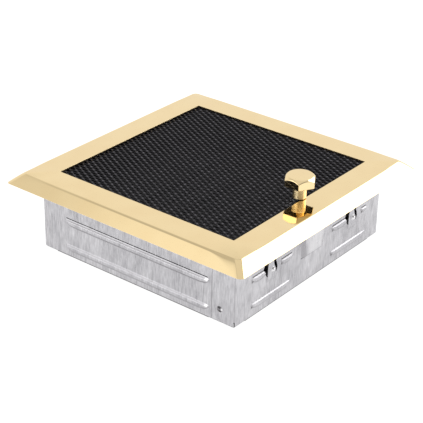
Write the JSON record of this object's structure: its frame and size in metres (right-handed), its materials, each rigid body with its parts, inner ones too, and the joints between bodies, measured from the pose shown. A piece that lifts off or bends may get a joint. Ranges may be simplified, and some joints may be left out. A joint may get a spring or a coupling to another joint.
{
  "type": "louvred air grille",
  "caption": "Square pressed-brass air grille with expanded mesh, a pull knob that swings its louvre slats open together, and a folded sheet-steel mounting frame.",
  "frame": {"origin": "middle of the mounting frame's lower edge, under the middle of the front plate", "axes": "+Z out of the duct towards the room, through the front plate; -Y towards the knob; X along the slats"},
  "size_m": [0.175, 0.175, 0.0639],
  "materials": {
    "polished_brass": "mirror polished",
    "mesh_black": "satin black paint",
    "louvre_steel": "satin black paint",
    "galvanised": "spangled hot-dip zinc",
    "zinc_plate": "bright zinc plate",
    "nylon": "natural nylon"
  },
  "bodies": {
    "frame": {"axle_bush_left_1": "nylon", "axle_bush_left_2": "nylon", "axle_bush_left_3": "nylon", "axle_bush_left_4": "nylon", "axle_bush_left_5": "nylon", "axle_bush_right_1": "nylon", "axle_bush_right_2": "nylon", "axle_bush_right_3": "nylon", "axle_bush_right_4": "nylon", "axle_bush_right_5": "nylon", "bracket_rivet_1": "zinc_plate", "bracket_rivet_2": "zinc_plate", "front_plate": "polished_brass", "guide_bracket": "zinc_plate", "guide_bush": "nylon", "housing_far_side": "louvre_steel", "housing_knob_side": "louvre_steel", "housing_left": "louvre_steel", "housing_right": "louvre_steel", "housing_rivet_1": "zinc_plate", "housing_rivet_2": "zinc_plate", "housing_rivet_3": "zinc_plate", "housing_rivet_4": "zinc_plate", "mesh_clamp_frame": "zinc_plate", "mesh_panel": "mesh_black", "mounting_frame_front": "galvanised", "mounting_frame_rear": "galvanised", "plate_stud_1": "zinc_plate", "plate_stud_2": "zinc_plate", "plate_stud_3": "zinc_plate", "plate_stud_4": "zinc_plate", "stud_nut_1": "zinc_plate", "stud_nut_2": "zinc_plate", "stud_nut_3": "zinc_plate", "stud_nut_4": "zinc_plate"},
    "knob": {"hex_knob": "polished_brass", "pull_rod": "zinc_plate", "yoke_plate": "zinc_plate", "yoke_nut": "zinc_plate", "retaining_ring": "zinc_plate"},
    "slat_1": {"slat_1": "louvre_steel", "slat_axle_1": "zinc_plate", "crank_pin_1": "zinc_plate", "drive_lug": "zinc_plate", "drive_pin": "zinc_plate"},
    "slat_2": {"slat_2": "louvre_steel", "slat_axle_2": "zinc_plate", "crank_pin_2": "zinc_plate"},
    "slat_3": {"slat_3": "louvre_steel", "slat_axle_3": "zinc_plate", "crank_pin_3": "zinc_plate"},
    "slat_4": {"slat_4": "louvre_steel", "slat_axle_4": "zinc_plate", "crank_pin_4": "zinc_plate"},
    "slat_5": {"slat_5": "louvre_steel", "slat_axle_5": "zinc_plate", "crank_pin_5": "zinc_plate"},
    "link": {"link_bar": "zinc_plate"}
  },
  "joints": [
    {"name": "knob_pull", "type": "slide", "parent": "frame", "child": "knob", "axis": [0, 0, 1], "range_m": [0, 0.01183]},
    {"name": "slat_1_swing", "type": "hinge", "parent": "frame", "child": "slat_1", "pos_m": [0, -0.0528, 0.0305], "axis": [-1, 0, 0], "range_deg": [0, 80]},
    {"name": "slat_2_swing", "type": "hinge", "parent": "frame", "child": "slat_2", "pos_m": [0, -0.0264, 0.0305], "axis": [-1, 0, 0], "range_deg": [0, 80]},
    {"name": "slat_3_swing", "type": "hinge", "parent": "frame", "child": "slat_3", "pos_m": [0, 0, 0.0305], "axis": [-1, 0, 0], "range_deg": [0, 80]},
    {"name": "slat_4_swing", "type": "hinge", "parent": "frame", "child": "slat_4", "pos_m": [0, 0.0264, 0.0305], "axis": [-1, 0, 0], "range_deg": [0, 80]},
    {"name": "slat_5_swing", "type": "hinge", "parent": "frame", "child": "slat_5", "pos_m": [0, 0.0528, 0.0305], "axis": [-1, 0, 0], "range_deg": [0, 80]},
    {"name": "link_turn", "type": "hinge", "parent": "slat_1", "child": "link", "pos_m": [0.0618, -0.04701, 0.02361], "axis": [-1, 0, 0], "range_deg": [-80, 0]}
  ],
  "couplings": [
    {"joint": "slat_1_swing", "follows": "knob_pull", "rad_per_m": 118.05},
    {"joint": "slat_2_swing", "follows": "knob_pull", "rad_per_m": 118.05},
    {"joint": "slat_3_swing", "follows": "knob_pull", "rad_per_m": 118.05},
    {"joint": "slat_4_swing", "follows": "knob_pull", "rad_per_m": 118.05},
    {"joint": "slat_5_swing", "follows": "knob_pull", "rad_per_m": 118.05},
    {"joint": "link_turn", "follows": "knob_pull", "rad_per_m": -118.05}
  ]
}
